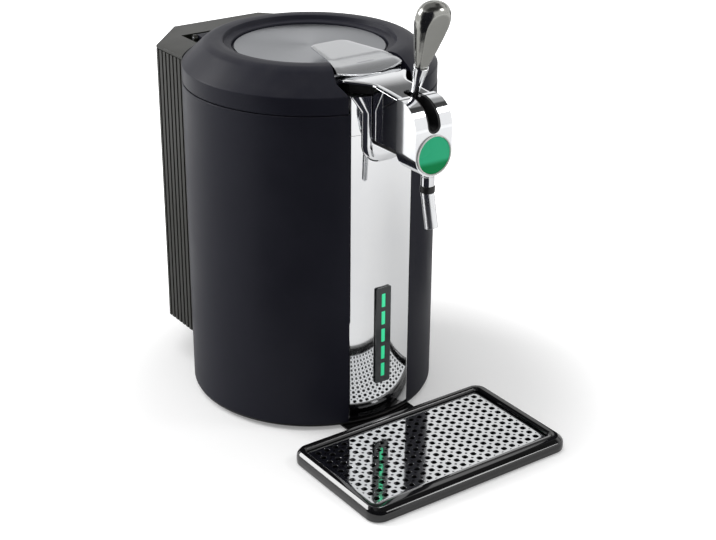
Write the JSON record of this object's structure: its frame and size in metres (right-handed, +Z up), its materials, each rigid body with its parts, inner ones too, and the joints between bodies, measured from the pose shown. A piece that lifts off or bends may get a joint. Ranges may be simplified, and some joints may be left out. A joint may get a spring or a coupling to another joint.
{
  "type": "mini keg beer dispenser",
  "caption": "Cylindrical cooled mini keg dispenser with hinged lid, chrome tap arm and lever, ribbed rear unit and drip tray.",
  "frame": {"origin": "centre of the bounding box's bottom face, on the surface that the dispenser stands on", "axes": "+Z up, -Y towards the drip tray and the pouring side, +X to the right seen from the front"},
  "size_m": [0.245, 0.447, 0.4352],
  "materials": {
    "soft_charcoal": "soft-touch matt",
    "olive_black": "ribbed matt",
    "gloss_black": "glossy moulded",
    "matt_black": "fine texture",
    "white_plastic": "smooth",
    "chrome_skin": "chrome plated plastic",
    "chrome_metal": "mirror chrome",
    "satin_silver": "satin brushed",
    "grille_steel": "polished, punched",
    "aluminium": "plain",
    "rubber": "matt",
    "foam": "moulded foam",
    "display_grey": "smoked",
    "lit_green": "lit light guide",
    "badge_green": "domed resin"
  },
  "bodies": {
    "dispenser": {"base_plate": "matt_black", "foot_1": "rubber", "foot_2": "rubber", "foot_3": "rubber", "foot_4": "rubber", "casing": "soft_charcoal", "front_panel_lower": "chrome_skin", "front_panel_upper": "chrome_skin", "level_display": "display_grey", "level_bar_1": "lit_green", "level_bar_2": "lit_green", "level_bar_3": "lit_green", "level_bar_4": "lit_green", "level_bar_5": "lit_green", "display_board": "badge_green", "keg_liner": "aluminium", "keg_rest": "rubber", "insulation": "foam", "top_deck": "matt_black", "rear_cover": "olive_black", "rear_top_cover": "olive_black", "hinge_pin_left": "aluminium", "hinge_pin_right": "aluminium", "cold_block": "aluminium", "thermoelectric_module": "white_plastic", "heat_sink": "aluminium", "fan_frame": "matt_black", "power_supply": "matt_black", "power_inlet": "matt_black", "switch_body": "matt_black", "tap_collar": "chrome_skin", "tap_bracket": "aluminium", "tap_screw_lower": "chrome_metal", "tap_screw_upper": "chrome_metal", "tap_arm_body": "matt_black", "tap_arm_cover": "chrome_skin", "tap_arm_side_left": "chrome_skin", "tap_arm_side_right": "chrome_skin", "tap_head": "chrome_skin", "lever_pin": "aluminium", "lever_guide": "matt_black", "badge_ring": "white_plastic", "badge_disc": "badge_green", "spout_stub": "chrome_skin", "spout_collar": "matt_black", "spout_tube": "chrome_metal"},
    "lid": {"lid_shell": "soft_charcoal", "lid_disc": "satin_silver", "lid_liner": "white_plastic", "lid_seal": "rubber", "latch_pin": "aluminium"},
    "latch": {"latch_plate": "satin_silver"},
    "lever": {"lever_stem": "chrome_metal", "lever_grip": "satin_silver"},
    "pinch_valve": {"pinch_block": "white_plastic"},
    "tray": {"drip_tray": "gloss_black", "tray_rim": "gloss_black"},
    "grille": {"drip_grille": "grille_steel"},
    "fan": {"fan_impeller": "matt_black"},
    "button": {"power_button": "gloss_black"}
  },
  "joints": [
    {"name": "lid_hinge", "type": "hinge", "parent": "dispenser", "child": "lid", "pos_m": [0, 0.1785, 0.336], "axis": [-1, 0, 0], "range_deg": [0, 95]},
    {"name": "latch_pivot", "type": "hinge", "parent": "lid", "child": "latch", "pos_m": [0, -0.0459, 0.3512], "axis": [1, 0, 0], "range_deg": [0, 12], "stiffness_Nm_per_rad": 0.25, "springref_deg": -5.73},
    {"name": "tap_lever", "type": "hinge", "parent": "dispenser", "child": "lever", "pos_m": [0, -0.1088, 0.321], "axis": [1, 0, 0], "range_deg": [0, 40]},
    {"name": "pinch_lift", "type": "slide", "parent": "dispenser", "child": "pinch_valve", "axis": [0, 0, 1], "range_m": [0, 0.0025]},
    {"name": "tray_slide", "type": "slide", "parent": "dispenser", "child": "tray", "axis": [0, -1, 0], "range_m": [0, 0.08]},
    {"name": "grille_lift", "type": "slide", "parent": "tray", "child": "grille", "axis": [0, 0, 1], "range_m": [0, 0.04]},
    {"name": "fan_spin", "type": "hinge", "parent": "dispenser", "child": "fan", "pos_m": [0, 0.2055, 0.135], "axis": [0, 1, 0], "continuous": true},
    {"name": "power_press", "type": "slide", "parent": "dispenser", "child": "button", "axis": [0, -1, 0], "range_m": [0, 0.0025], "stiffness_N_per_m": 400, "springref_m": -0.002}
  ],
  "couplings": [
    {"joint": "pinch_lift", "follows": "tap_lever", "m_per_rad": 0.0035}
  ]
}
